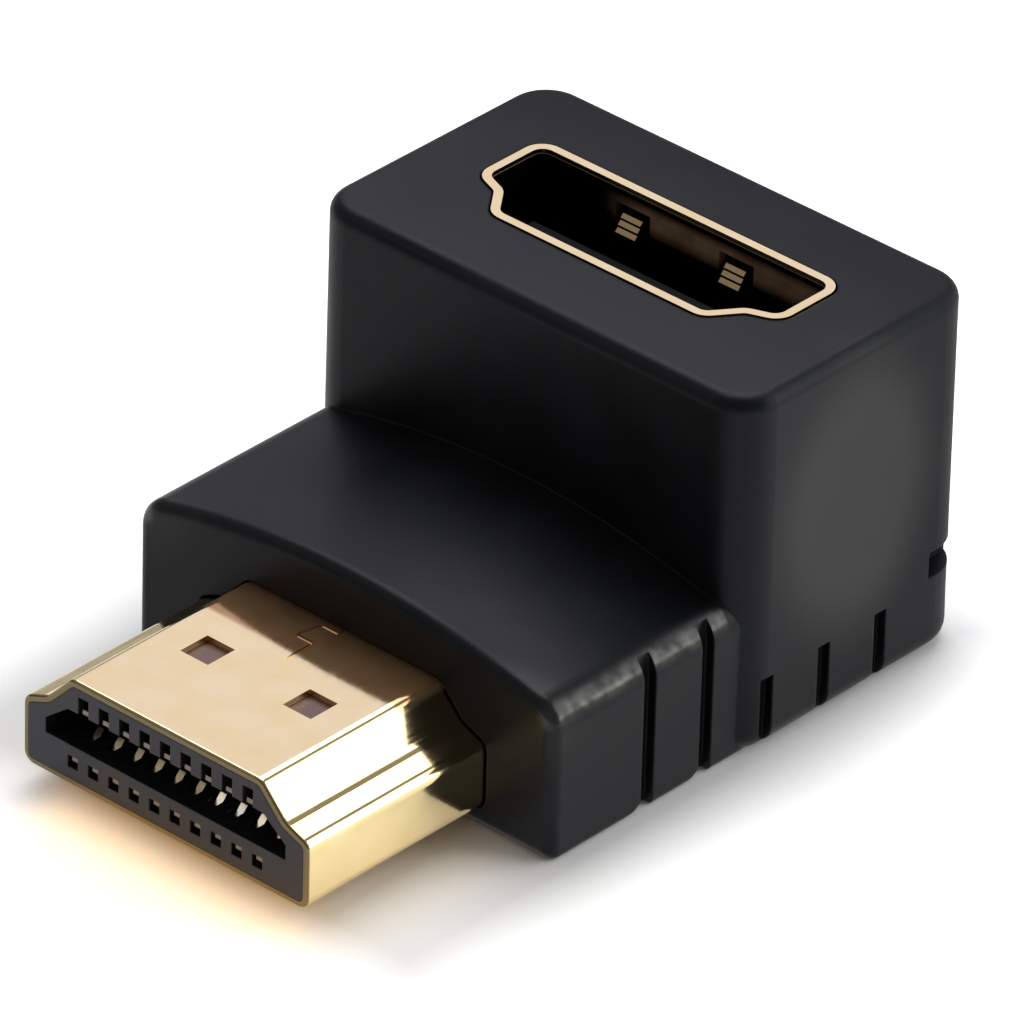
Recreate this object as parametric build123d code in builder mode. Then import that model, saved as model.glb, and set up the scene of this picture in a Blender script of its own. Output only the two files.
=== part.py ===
from build123d import *
import os
from math import radians, tan

# Right angle adapter in millimetres. X runs across the width, -Y out along the plug and +Z out of
# the socket. The origin is the middle of the underside, half way from the plug's tip to the back.
os.makedirs("parts", exist_ok=True)

# Plug, a D-shaped tube of folded sheet with its wide side down
PLUG_WIDTH = 13.9
PLUG_HEIGHT = 4.45
PLUG_WALL_HEIGHT = 2.76
PLUG_NARROW_WIDTH = 9.26
SHOULDER_IN = 1.15
SHOULDER_UP = 0.45
PLUG_EDGE_RADIUS = 0.5
SHOULDER_RADIUS = 0.9
PLUG_SHEET = 0.25
PLUG_LENGTH = 9.1
PLUG_EMBEDDED = 5.0
PLUG_UNDERSIDE = 0.85
PLUG_RIM_RADIUS = 0.12

# Latch windows and fold seam in the narrow face of the plug, placed from the tip
WINDOW_WIDTH = 1.35
WINDOW_LENGTH = 1.4
WINDOW_SPACING = 5.0
WINDOW_SETBACK = 4.07
SEAM_WIDTH = 0.08
SEAM_DEPTH = 0.1
SEAM_X = -0.17
SEAM_SETBACK = 6.3
SEAM_JOG_SETBACK = 7.78
SEAM_JOG_LENGTH = 1.1
SEAM_JOG_WIDTH = 0.8
SEAM_JOG_FLARE = 0.22
SEAM_ROLL = 0.15

# Plug moulding, with heights measured from the underside of the plug
CAVITY_WIDTH = 11.7
CAVITY_FLOOR = 1.68
CAVITY_SIDE = 2.3
CAVITY_CEILING = 3.15
CAVITY_CHAMFER = 1.1
CAVITY_DEPTH = 6.5
CHANNEL_WIDTH = 0.5
LOWER_CHANNEL_FLOOR = 0.73
CHANNEL_HEIGHT = 0.5
UPPER_CHANNEL_ROOF = 3.87
CHANNEL_BRIDGE = 0.8
CHANNEL_OPEN = 5.2

# Contacts of both connectors
CONTACTS = 19
CONTACT_PITCH = 1.0
CONTACT_WIDTH = 0.3
CONTACT_THICKNESS = 0.2
CONTACT_SETBACK = 0.12
CONTACT_CLEARANCE = 0.06
CREST_SETBACK = 1.45
CREST_HEIGHT = 0.12
BEAM_LENGTH = 2.4
TAIL_LENGTH = 1.5

# Socket: the plug's outline with running room, in thicker sheet
MATING_CLEARANCE = 0.05
SHOULDER_CLEARANCE = 0.3
SOCKET_SHEET = 0.35
SOCKET_PROUD = 0.05
SOCKET_BASE_HEIGHT = 3.0
TONGUE_WIDTH = 11.2
TONGUE_THICKNESS = 1.0
TONGUE_RECESS = 1.6
TONGUE_LEAD = 0.2
SOCKET_CONTACT_SETBACK = 0.7
SOCKET_CONTACT_PROUD = 0.1

# Spring fingers in the wide wall of the socket
FINGER_SPACING = 5.0
FINGER_WIDTH = 0.95
FINGER_GAP = 0.35
FINGER_TOP = 1.15
FINGER_LENGTH = 4.2
FINGER_ROOT = 0.3
FINGER_STEPS = 3
FINGER_STEP_LEDGE = 0.14
FINGER_STEP_DROP = 0.1

# Circuit board
BOARD_WIDTH = 14.0
BOARD_THICKNESS = 0.8
BOARD_GAP = 0.8
BOARD_MARGIN = 0.6
BOARD_CLEARANCE = 0.05
BOARD_LEDGE = 0.8
PIN_HOLE_SIZE = 0.5
PIN_STICK_OUT = 0.5

# Housing: a low crowned arm in front of a tall block that widens a little towards its foot
ARM_WIDTH = 20.3
ARM_LENGTH = 9.3
ARM_SIDE_HEIGHT = 6.3
ARM_CROWN = 1.45
ARM_LAP = 1.2
ARM_TOP_RADIUS = 1.3
ARM_FOOT_RADIUS = 0.25
ARM_FRONT_RADIUS = 0.5
BLOCK_WIDTH = 21.05
BLOCK_DEPTH = 12.55
BLOCK_HEIGHT = 14.9
BLOCK_DRAFT = 0.3
BLOCK_EDGE_RADIUS = 1.7
BLOCK_TOP_RADIUS = 0.6
BLOCK_FOOT_RADIUS = 0.8
MOULD_SIDE = 0.4
END_WALL = 1.5
TOP_WALL = 2.0
FLOOR_WALL = 0.45
ARM_ROOF = 0.45
SHELL_GAP = 0.08

# Grip grooves wrapped round the lower side edges, and the slot at one rear corner
GROOVE_WIDTH = 0.65
GROOVE_PITCH = 3.08
GROOVE_DEPTH = 0.4
GROOVE_HEIGHT = 3.05
GROOVE_WRAP = 0.45
ARM_GROOVES = 2
ARM_GROOVE_SETBACK = 5.1
BLOCK_GROOVES = 3
BLOCK_GROOVE_SETBACK = 1.66
NOTCH_LENGTH = 0.6
NOTCH_HEIGHT = 0.4
CORNER_SLOT_HEIGHT = 1.1
CORNER_SLOT_Z = 3.8
CORNER_SLOT_REACH = 2.1
CORNER_SLOT_DEPTH = 0.9

# Clearance between a moulding and what it is pushed into or cast round
SEAT = 0.02

# Places that follow from the sizes
BLOCK_FLARE = BLOCK_HEIGHT * tan(radians(BLOCK_DRAFT))
TIP_Y = -(PLUG_LENGTH + ARM_LENGTH + BLOCK_DEPTH + BLOCK_FLARE) / 2
ARM_FRONT_Y = TIP_Y + PLUG_LENGTH
BLOCK_FRONT_Y = ARM_FRONT_Y + ARM_LENGTH
BLOCK_BACK_Y = BLOCK_FRONT_Y + BLOCK_DEPTH
PLUG_REAR_Y = ARM_FRONT_Y + PLUG_EMBEDDED
SOCKET_Y = BLOCK_FRONT_Y + BLOCK_DEPTH / 2
RIM_Z = BLOCK_HEIGHT + SOCKET_PROUD
SOCKET_DEPTH = PLUG_HEIGHT + 2 * MATING_CLEARANCE
SOCKET_WIDE_Y = SOCKET_Y + SOCKET_DEPTH / 2
BOARD_BOTTOM = PLUG_UNDERSIDE + (PLUG_HEIGHT - BOARD_THICKNESS) / 2
BOARD_TOP = BOARD_BOTTOM + BOARD_THICKNESS
BOARD_FRONT_Y = PLUG_REAR_Y + BOARD_GAP
MOULD_FRONT_Y = ARM_FRONT_Y + END_WALL
MOULD_BLOCK_Y = BLOCK_FRONT_Y + END_WALL
MOULD_BACK_Y = BLOCK_BACK_Y - END_WALL
MOULD_TOP = BLOCK_HEIGHT - TOP_WALL
MOULD_WIDTH = PLUG_WIDTH + 2 * (MATING_CLEARANCE + SOCKET_SHEET + MOULD_SIDE)
BOARD_BACK_Y = MOULD_BACK_Y - BOARD_MARGIN
TONGUE_Y = SOCKET_WIDE_Y - MATING_CLEARANCE - (CAVITY_FLOOR + CAVITY_CEILING) / 2
TONGUE_TOP = RIM_Z - TONGUE_RECESS
BLOCK_FOOT_WIDTH = BLOCK_WIDTH + 2 * BLOCK_FLARE


def across(y, z=0.0):
    """Plane square to the plug at y, its local y axis up from height z and its normal towards the tip."""
    return Plane(origin=(0, y, z), x_dir=(1, 0, 0), z_dir=(0, -1, 0))


def socket_plane(z):
    """Level plane whose local y axis runs from the socket's wide wall towards its narrow wall."""
    return Plane(origin=(0, SOCKET_WIDE_Y, z), x_dir=(-1, 0, 0), z_dir=(0, 0, 1))


def contact_x(number):
    """Place of a contact across the width: odd numbers in the row of ten, even ones in the row of nine."""
    return (number - (CONTACTS + 1) / 2) * CONTACT_PITCH / 2


def d_corners(width, height, wall_height, narrow_width):
    """Corners of the D-shaped outline, anticlockwise from its lower right."""
    right = [
        (width / 2, 0),
        (width / 2, wall_height),
        (width / 2 - SHOULDER_IN, wall_height + SHOULDER_UP),
        (narrow_width / 2, height),
    ]
    return right + [(-x, y) for x, y in reversed(right)]


LOWER_NUMBERS = range(1, CONTACTS + 1, 2)
UPPER_NUMBERS = range(2, CONTACTS, 2)
D_RADII_RIGHT = [PLUG_EDGE_RADIUS, PLUG_EDGE_RADIUS, SHOULDER_RADIUS, PLUG_EDGE_RADIUS]
D_RADII = D_RADII_RIGHT + D_RADII_RIGHT[::-1]

# Outlines that several pieces share: outside of the plug, and inside of the socket
with BuildSketch() as plug_outline:
    with BuildLine():
        FilletPolyline(
            *d_corners(PLUG_WIDTH, PLUG_HEIGHT, PLUG_WALL_HEIGHT, PLUG_NARROW_WIDTH),
            radius=D_RADII,
            close=True,
        )
    make_face()

with BuildSketch() as socket_outline:
    with BuildLine():
        FilletPolyline(
            *d_corners(
                PLUG_WIDTH + 2 * MATING_CLEARANCE,
                SOCKET_DEPTH,
                PLUG_WALL_HEIGHT + 2 * MATING_CLEARANCE,
                PLUG_NARROW_WIDTH + 2 * SHOULDER_CLEARANCE,
            ),
            radius=D_RADII,
            close=True,
        )
    make_face()

# Plug shell: a seamed D tube with a softened rim and two square latch windows
with BuildPart() as plug_shell:
    with BuildSketch(across(PLUG_REAR_Y, PLUG_UNDERSIDE)):
        add(plug_outline.sketch)
        offset(amount=-PLUG_SHEET, mode=Mode.SUBTRACT)
    extrude(amount=PLUG_REAR_Y - TIP_Y)
    rim = plug_shell.faces().sort_by(Axis.Y)[0]
    fillet(rim.outer_wire().edges(), PLUG_RIM_RADIUS)
    with BuildSketch(Plane.XY.offset(PLUG_UNDERSIDE + PLUG_HEIGHT)):
        with Locations((0, TIP_Y + WINDOW_SETBACK + WINDOW_LENGTH / 2)):
            with GridLocations(WINDOW_SPACING, 0, 2, 1):
                Rectangle(WINDOW_WIDTH, WINDOW_LENGTH)
    extrude(amount=-2 * PLUG_SHEET, mode=Mode.SUBTRACT)
    # Seam: a fine line down the narrow face with a slanted jog beside the housing
    jog_y = TIP_Y + SEAM_JOG_SETBACK
    jog_back_y = jog_y + SEAM_JOG_LENGTH
    with BuildSketch(Plane.XY.offset(PLUG_UNDERSIDE + PLUG_HEIGHT)):
        with BuildLine():
            Polyline(
                (SEAM_X, TIP_Y + SEAM_SETBACK),
                (SEAM_X, jog_y),
                (SEAM_X - SEAM_JOG_WIDTH, jog_y),
                (SEAM_X - SEAM_JOG_WIDTH + SEAM_JOG_FLARE, jog_back_y),
                (SEAM_X + SEAM_JOG_FLARE, jog_back_y),
                (SEAM_X + SEAM_JOG_FLARE, PLUG_REAR_Y),
            )
        trace(line_width=SEAM_WIDTH)
    extrude(amount=-SEAM_DEPTH, mode=Mode.SUBTRACT)
    # The two cross edges of the jog are rolled down towards the tip
    for edge_x, edge_y in ((SEAM_X, jog_y), (SEAM_X + SEAM_JOG_FLARE, jog_back_y)):
        with BuildSketch(Plane.YZ.offset(edge_x)):
            with Locations((edge_y, PLUG_UNDERSIDE + PLUG_HEIGHT)):
                Polygon((0, 0), (-SEAM_ROLL, 0), (-SEAM_ROLL, -SEAM_ROLL), align=None)
        extrude(amount=-SEAM_JOG_WIDTH, mode=Mode.SUBTRACT)
plug_shell.part.label = "plug_shell"
export_step(plug_shell.part, "parts/plug_shell.step")

# Plug moulding: fills the shell and holds the contacts round the slot for the socket's tongue
with BuildPart() as plug_insulator:
    with BuildSketch(across(PLUG_REAR_Y, PLUG_UNDERSIDE)):
        offset(plug_outline.sketch, amount=-(PLUG_SHEET + SEAT))
    extrude(amount=PLUG_REAR_Y - TIP_Y)
    with BuildSketch(across(TIP_Y, PLUG_UNDERSIDE)):
        with BuildLine():
            Polyline(
                (CAVITY_WIDTH / 2, CAVITY_FLOOR),
                (CAVITY_WIDTH / 2, CAVITY_SIDE),
                (CAVITY_WIDTH / 2 - CAVITY_CHAMFER, CAVITY_CEILING),
                (CAVITY_CHAMFER - CAVITY_WIDTH / 2, CAVITY_CEILING),
                (-CAVITY_WIDTH / 2, CAVITY_SIDE),
                (-CAVITY_WIDTH / 2, CAVITY_FLOOR),
                close=True,
            )
        make_face()
    extrude(amount=-CAVITY_DEPTH, mode=Mode.SUBTRACT)
    # Lower channels: square holes at the face, then open into the floor of the slot
    with BuildSketch(*[Plane.YZ.offset(contact_x(n)) for n in LOWER_NUMBERS]):
        with BuildLine():
            Polyline(
                (TIP_Y, PLUG_UNDERSIDE + LOWER_CHANNEL_FLOOR),
                (PLUG_REAR_Y, PLUG_UNDERSIDE + LOWER_CHANNEL_FLOOR),
                (PLUG_REAR_Y, PLUG_UNDERSIDE + LOWER_CHANNEL_FLOOR + CHANNEL_HEIGHT),
                (TIP_Y + CHANNEL_OPEN, PLUG_UNDERSIDE + LOWER_CHANNEL_FLOOR + CHANNEL_HEIGHT),
                (TIP_Y + CHANNEL_OPEN, PLUG_UNDERSIDE + CAVITY_FLOOR),
                (TIP_Y + CHANNEL_BRIDGE, PLUG_UNDERSIDE + CAVITY_FLOOR),
                (TIP_Y + CHANNEL_BRIDGE, PLUG_UNDERSIDE + LOWER_CHANNEL_FLOOR + CHANNEL_HEIGHT),
                (TIP_Y, PLUG_UNDERSIDE + LOWER_CHANNEL_FLOOR + CHANNEL_HEIGHT),
                close=True,
            )
        make_face()
    extrude(amount=CHANNEL_WIDTH / 2, both=True, mode=Mode.SUBTRACT)
    # Upper channels: notches in the ceiling of the slot, closed behind it
    with BuildSketch(*[Plane.YZ.offset(contact_x(n)) for n in UPPER_NUMBERS]):
        with BuildLine():
            Polyline(
                (TIP_Y, PLUG_UNDERSIDE + CAVITY_CEILING),
                (TIP_Y + CAVITY_DEPTH, PLUG_UNDERSIDE + CAVITY_CEILING),
                (TIP_Y + CAVITY_DEPTH, PLUG_UNDERSIDE + UPPER_CHANNEL_ROOF - CHANNEL_HEIGHT),
                (PLUG_REAR_Y, PLUG_UNDERSIDE + UPPER_CHANNEL_ROOF - CHANNEL_HEIGHT),
                (PLUG_REAR_Y, PLUG_UNDERSIDE + UPPER_CHANNEL_ROOF),
                (TIP_Y, PLUG_UNDERSIDE + UPPER_CHANNEL_ROOF),
                close=True,
            )
        make_face()
    extrude(amount=CHANNEL_WIDTH / 2, both=True, mode=Mode.SUBTRACT)
plug_insulator.part.label = "plug_insulator"
export_step(plug_insulator.part, "parts/plug_insulator.step")

# Plug contacts: each strip has its tip behind the face, a sprung crest in the slot, a beam behind it
# and a tail on the board's front edge
BEAM_RISE = CONTACT_CLEARANCE + CONTACT_THICKNESS


def contact_path(tip, crest, beam, tail):
    """Face of a contact strip that looks at the other row, from tip to tail, as (y, z) points."""
    return [
        (TIP_Y + CONTACT_SETBACK, tip),
        (TIP_Y + CHANNEL_BRIDGE + CONTACT_CLEARANCE, tip),
        (TIP_Y + CREST_SETBACK, crest),
        (TIP_Y + CREST_SETBACK + BEAM_LENGTH, beam),
        (PLUG_REAR_Y + CONTACT_CLEARANCE, beam),
        (BOARD_FRONT_Y - CONTACT_CLEARANCE, tail),
        (BOARD_FRONT_Y + TAIL_LENGTH, tail),
    ]


LOWER_PATH = contact_path(
    PLUG_UNDERSIDE + LOWER_CHANNEL_FLOOR + CHANNEL_HEIGHT - CONTACT_CLEARANCE,
    PLUG_UNDERSIDE + CAVITY_FLOOR + CREST_HEIGHT,
    PLUG_UNDERSIDE + LOWER_CHANNEL_FLOOR + BEAM_RISE,
    BOARD_BOTTOM - SEAT,
)
UPPER_PATH = contact_path(
    PLUG_UNDERSIDE + CAVITY_CEILING,
    PLUG_UNDERSIDE + CAVITY_CEILING - CREST_HEIGHT,
    PLUG_UNDERSIDE + UPPER_CHANNEL_ROOF - BEAM_RISE,
    BOARD_TOP + SEAT,
)
for number in range(1, CONTACTS + 1):
    in_lower_row = number in LOWER_NUMBERS
    with BuildPart() as plug_contact:
        with BuildSketch(Plane.YZ.offset(contact_x(number))):
            with BuildLine():
                Polyline(*(LOWER_PATH if in_lower_row else UPPER_PATH))
                offset(
                    amount=CONTACT_THICKNESS,
                    side=Side.RIGHT if in_lower_row else Side.LEFT,
                    kind=Kind.INTERSECTION,
                )
            make_face()
        extrude(amount=CONTACT_WIDTH / 2, both=True)
    plug_contact.part.label = f"plug_contact_{number:02d}"
    export_step(plug_contact.part, f"parts/plug_contact_{number:02d}.step")

# Socket shell: a D tube standing on the board, with two sprung fingers cut from its wide wall
FINGER_FOOT = RIM_Z - FINGER_TOP - FINGER_LENGTH
WALL_OUT_Y = SOCKET_WIDE_Y + SOCKET_SHEET
with BuildPart() as receptacle_shell:
    with BuildSketch(socket_plane(BOARD_TOP)):
        offset(socket_outline.sketch, amount=SOCKET_SHEET)
        add(socket_outline.sketch, mode=Mode.SUBTRACT)
    extrude(amount=RIM_Z - BOARD_TOP)
    with BuildSketch(across(WALL_OUT_Y, FINGER_FOOT)):
        with Locations((0, (FINGER_LENGTH + FINGER_GAP) / 2)):
            with GridLocations(FINGER_SPACING, 0, 2, 1):
                Rectangle(FINGER_WIDTH + 2 * FINGER_GAP, FINGER_LENGTH + FINGER_GAP)
    extrude(amount=SOCKET_SHEET, mode=Mode.SUBTRACT)
    # Each finger leans in from its root, and its tip widens inwards by sloping ledges that lead the plug in
    finger_top = FINGER_FOOT + FINGER_LENGTH
    wall_in_y = WALL_OUT_Y - SOCKET_SHEET
    steps = []
    for i in range(FINGER_STEPS):
        step_y = wall_in_y - i * FINGER_STEP_LEDGE
        step_z = finger_top - i * (FINGER_STEP_LEDGE + FINGER_STEP_DROP)
        steps.append((step_y, step_z))
        steps.append((step_y - FINGER_STEP_LEDGE, step_z - FINGER_STEP_LEDGE))
    crest_y = wall_in_y - FINGER_STEPS * FINGER_STEP_LEDGE
    crest_z = finger_top - FINGER_STEPS * (FINGER_STEP_LEDGE + FINGER_STEP_DROP)
    with BuildSketch(*[Plane.YZ.offset(side * FINGER_SPACING / 2) for side in (-1, 1)]):
        with BuildLine():
            Polyline(
                (wall_in_y, FINGER_FOOT - FINGER_ROOT),
                (WALL_OUT_Y, FINGER_FOOT - FINGER_ROOT),
                (WALL_OUT_Y, FINGER_FOOT + FINGER_ROOT),
                (wall_in_y, finger_top - FINGER_STEP_DROP),
                *steps,
                (crest_y, crest_z),
                (wall_in_y, FINGER_FOOT + FINGER_ROOT),
                close=True,
            )
        make_face()
    extrude(amount=FINGER_WIDTH / 2, both=True)
receptacle_shell.part.label = "receptacle_shell"
export_step(receptacle_shell.part, "parts/receptacle_shell.step")

# Socket moulding: a base that fills the shell and a tongue with a contact groove for each strip
STRIP_OUT = TONGUE_THICKNESS / 2 + SOCKET_CONTACT_PROUD - CONTACT_THICKNESS / 2
GROOVE_MIDDLE = STRIP_OUT - CONTACT_THICKNESS / 2 - CONTACT_CLEARANCE + CONTACT_THICKNESS
with BuildPart() as receptacle_insulator:
    with BuildSketch(socket_plane(BOARD_TOP)):
        offset(socket_outline.sketch, amount=-SEAT)
    extrude(amount=SOCKET_BASE_HEIGHT)
    with BuildSketch(Plane.XY.offset(BOARD_TOP)):
        with Locations((0, TONGUE_Y)):
            Rectangle(TONGUE_WIDTH, TONGUE_THICKNESS)
    extrude(amount=TONGUE_TOP - BOARD_TOP)
    chamfer(receptacle_insulator.faces().sort_by(Axis.Z)[-1].edges(), TONGUE_LEAD)
    with BuildSketch(Plane.XY.offset(BOARD_TOP)):
        for number in range(1, CONTACTS + 1):
            side = 1 if number in LOWER_NUMBERS else -1
            with Locations((contact_x(number), TONGUE_Y + side * GROOVE_MIDDLE)):
                Rectangle(CHANNEL_WIDTH, 2 * CONTACT_THICKNESS)
    extrude(amount=TONGUE_TOP - SOCKET_CONTACT_SETBACK + CONTACT_CLEARANCE - BOARD_TOP, mode=Mode.SUBTRACT)
receptacle_insulator.part.label = "receptacle_insulator"
export_step(receptacle_insulator.part, "parts/receptacle_insulator.step")

# Socket contacts: straight strips, run down through the base and the board
PIN_FOOT = BOARD_BOTTOM - PIN_STICK_OUT
STRIP_TOP = TONGUE_TOP - SOCKET_CONTACT_SETBACK
for number in range(1, CONTACTS + 1):
    side = 1 if number in LOWER_NUMBERS else -1
    strip_y = TONGUE_Y + side * STRIP_OUT
    with BuildPart() as receptacle_contact:
        with BuildSketch(Plane.XY.offset(PIN_FOOT)):
            with Locations((contact_x(number), strip_y)):
                Rectangle(CONTACT_WIDTH, CONTACT_THICKNESS)
        extrude(amount=STRIP_TOP - PIN_FOOT)
    receptacle_contact.part.label = f"receptacle_contact_{number:02d}"
    export_step(receptacle_contact.part, f"parts/receptacle_contact_{number:02d}.step")

# Circuit board: level, between the rows of the plug's tails, with a hole for each socket contact
with BuildPart() as circuit_board:
    with BuildSketch(Plane.XY.offset(BOARD_BOTTOM)):
        with Locations((0, (BOARD_FRONT_Y + BOARD_BACK_Y) / 2)):
            Rectangle(BOARD_WIDTH, BOARD_BACK_Y - BOARD_FRONT_Y)
        for number in range(1, CONTACTS + 1):
            side = 1 if number in LOWER_NUMBERS else -1
            with Locations((contact_x(number), TONGUE_Y + side * STRIP_OUT)):
                Rectangle(PIN_HOLE_SIZE, PIN_HOLE_SIZE, mode=Mode.SUBTRACT)
    extrude(amount=BOARD_THICKNESS)
circuit_board.part.label = "circuit_board"
export_step(circuit_board.part, "parts/circuit_board.step")

# Outside of the inner mould: an L-shaped block, which is also the hollow of the housing
with BuildPart() as mould_blank:
    with BuildSketch(Plane.YZ):
        with BuildLine():
            Polyline(
                (MOULD_FRONT_Y, FLOOR_WALL),
                (MOULD_BACK_Y, FLOOR_WALL),
                (MOULD_BACK_Y, MOULD_TOP),
                (MOULD_BLOCK_Y, MOULD_TOP),
                (MOULD_BLOCK_Y, ARM_SIDE_HEIGHT - ARM_ROOF),
                (MOULD_FRONT_Y, ARM_SIDE_HEIGHT - ARM_ROOF),
                close=True,
            )
        make_face()
    extrude(amount=MOULD_WIDTH / 2, both=True)

# Inner mould: the blank with pockets for the rear of the plug, the board, and the socket
POCKET_FLOOR = BOARD_BOTTOM - PIN_STICK_OUT - CONTACT_CLEARANCE
with BuildPart() as inner_mould:
    add(mould_blank.part)
    with BuildSketch(across(PLUG_REAR_Y, PLUG_UNDERSIDE)):
        offset(plug_outline.sketch, amount=SEAT)
    extrude(amount=PLUG_EMBEDDED, mode=Mode.SUBTRACT)
    with BuildSketch(Plane.XY.offset(BOARD_BOTTOM)):
        with Locations((0, (PLUG_REAR_Y + BOARD_BACK_Y + BOARD_CLEARANCE) / 2)):
            Rectangle(
                BOARD_WIDTH + 2 * BOARD_CLEARANCE,
                BOARD_BACK_Y + BOARD_CLEARANCE - PLUG_REAR_Y,
            )
    extrude(amount=BOARD_THICKNESS, mode=Mode.SUBTRACT)
    with BuildSketch(Plane.XY.offset(POCKET_FLOOR)):
        with Locations((0, (PLUG_REAR_Y + BOARD_BACK_Y - BOARD_LEDGE) / 2)):
            Rectangle(BOARD_WIDTH - 2 * BOARD_LEDGE, BOARD_BACK_Y - BOARD_LEDGE - PLUG_REAR_Y)
    extrude(amount=BOARD_BOTTOM - POCKET_FLOOR, mode=Mode.SUBTRACT)
    with BuildSketch(across(PLUG_REAR_Y, PLUG_UNDERSIDE)):
        with Locations((0, PLUG_HEIGHT / 2)):
            Rectangle(PLUG_NARROW_WIDTH + CONTACT_PITCH, PLUG_HEIGHT - 2 * PLUG_SHEET)
    extrude(amount=-(BOARD_GAP + TAIL_LENGTH + CONTACT_CLEARANCE), mode=Mode.SUBTRACT)
    with BuildSketch(socket_plane(BOARD_TOP)):
        offset(socket_outline.sketch, amount=SOCKET_SHEET + SEAT)
    extrude(amount=MOULD_TOP - BOARD_TOP, mode=Mode.SUBTRACT)
inner_mould.part.label = "inner_mould"
export_step(inner_mould.part, "parts/inner_mould.step")

# Section of the arm: crowned across its top, with rounded long edges
with BuildSketch() as arm_section:
    with BuildLine():
        sides = Polyline(
            (-ARM_WIDTH / 2, ARM_SIDE_HEIGHT),
            (-ARM_WIDTH / 2, 0),
            (ARM_WIDTH / 2, 0),
            (ARM_WIDTH / 2, ARM_SIDE_HEIGHT),
        )
        ThreePointArc(sides @ 1, (0, ARM_SIDE_HEIGHT + ARM_CROWN), sides @ 0)
    make_face()
    fillet(arm_section.vertices().group_by(Axis.Y)[0], ARM_FOOT_RADIUS)
    fillet(arm_section.vertices().group_by(Axis.Y)[-1], ARM_TOP_RADIUS)

with BuildPart() as arm:
    with BuildSketch(across(BLOCK_FRONT_Y + ARM_LAP)):
        add(arm_section.sketch)
    extrude(amount=ARM_LENGTH + ARM_LAP)
    fillet(arm.faces().sort_by(Axis.Y)[0].edges(), ARM_FRONT_RADIUS)

# Housing: the arm and the drafted block in one moulding, open where the plug and the socket show
arm_groove_ys = [ARM_FRONT_Y + ARM_GROOVE_SETBACK + i * GROOVE_PITCH for i in range(ARM_GROOVES)]
block_groove_ys = [BLOCK_FRONT_Y + BLOCK_GROOVE_SETBACK + i * GROOVE_PITCH for i in range(BLOCK_GROOVES)]
with BuildPart() as housing:
    with BuildSketch(Plane.XY.offset(BLOCK_HEIGHT)):
        with Locations((0, SOCKET_Y)):
            RectangleRounded(BLOCK_WIDTH, BLOCK_DEPTH, BLOCK_EDGE_RADIUS)
    extrude(amount=-BLOCK_HEIGHT, taper=-BLOCK_DRAFT)
    fillet(housing.faces().sort_by(Axis.Z)[-1].edges(), BLOCK_TOP_RADIUS)
    fillet(housing.faces().sort_by(Axis.Z)[0].edges(), BLOCK_FOOT_RADIUS)
    add(arm.part)
    # Grooves in the arm: its full height, and round both long edges
    with BuildSketch(*[across(y + GROOVE_WIDTH / 2) for y in arm_groove_ys]):
        with GridLocations(ARM_WIDTH, 0, 2, 1):
            Rectangle(2 * GROOVE_WRAP, 3 * BLOCK_HEIGHT)
        offset(arm_section.sketch, amount=-GROOVE_DEPTH, mode=Mode.SUBTRACT)
    extrude(amount=GROOVE_WIDTH, mode=Mode.SUBTRACT)
    # Grooves in the block: from below up to the groove height
    with BuildSketch(*[across(y + GROOVE_WIDTH / 2) for y in block_groove_ys]):
        with GridLocations(BLOCK_FOOT_WIDTH, 0, 2, 1):
            Rectangle(2 * GROOVE_WRAP, 2 * GROOVE_HEIGHT)
        with Locations((0, BLOCK_HEIGHT / 2 + GROOVE_DEPTH)):
            RectangleRounded(
                BLOCK_FOOT_WIDTH - 2 * GROOVE_DEPTH,
                BLOCK_HEIGHT,
                BLOCK_FOOT_RADIUS,
                mode=Mode.SUBTRACT,
            )
    extrude(amount=GROOVE_WIDTH, mode=Mode.SUBTRACT)
    # At its foot each groove runs out into a sloping notch on the side towards the plug
    for width, ys in ((ARM_WIDTH, arm_groove_ys), (BLOCK_FOOT_WIDTH, block_groove_ys)):
        for side in (-1, 1):
            with BuildSketch(Plane.YZ.offset(side * (width / 2 - 2 * GROOVE_DEPTH))):
                with Locations(*[(y - GROOVE_WIDTH / 2, 0) for y in ys]):
                    Polygon((0, 0), (0, NOTCH_HEIGHT), (-NOTCH_LENGTH, 0), align=None)
            extrude(amount=side * 3 * GROOVE_DEPTH, mode=Mode.SUBTRACT)
    # Slot across the rear right corner
    with BuildSketch(Plane.XY.offset(CORNER_SLOT_Z - CORNER_SLOT_HEIGHT / 2)):
        with Locations((BLOCK_WIDTH / 2, BLOCK_BACK_Y)):
            Rectangle(2 * CORNER_SLOT_DEPTH, 2 * CORNER_SLOT_REACH)
    extrude(amount=CORNER_SLOT_HEIGHT, mode=Mode.SUBTRACT)
    # Hollow for the inner mould, and the openings round the two shells
    add(mould_blank.part, mode=Mode.SUBTRACT)
    with BuildSketch(across(MOULD_FRONT_Y, PLUG_UNDERSIDE)):
        offset(plug_outline.sketch, amount=SHELL_GAP)
    extrude(amount=END_WALL, mode=Mode.SUBTRACT)
    with BuildSketch(socket_plane(MOULD_TOP)):
        offset(socket_outline.sketch, amount=SOCKET_SHEET + SHELL_GAP)
    extrude(amount=TOP_WALL, mode=Mode.SUBTRACT)
housing.part.label = "housing"
export_step(housing.part, "parts/housing.step")
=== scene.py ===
"""Right angle adapter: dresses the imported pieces, lights them and sets the camera.

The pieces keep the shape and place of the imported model. This script gives each of them a finish, and makes the
floor, the sky, the lamps and the camera.
"""

import logging
import math
from dataclasses import dataclass, field
from enum import Enum
from typing import Any

import bmesh
import bpy
from mathutils import Matrix, Vector


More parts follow.
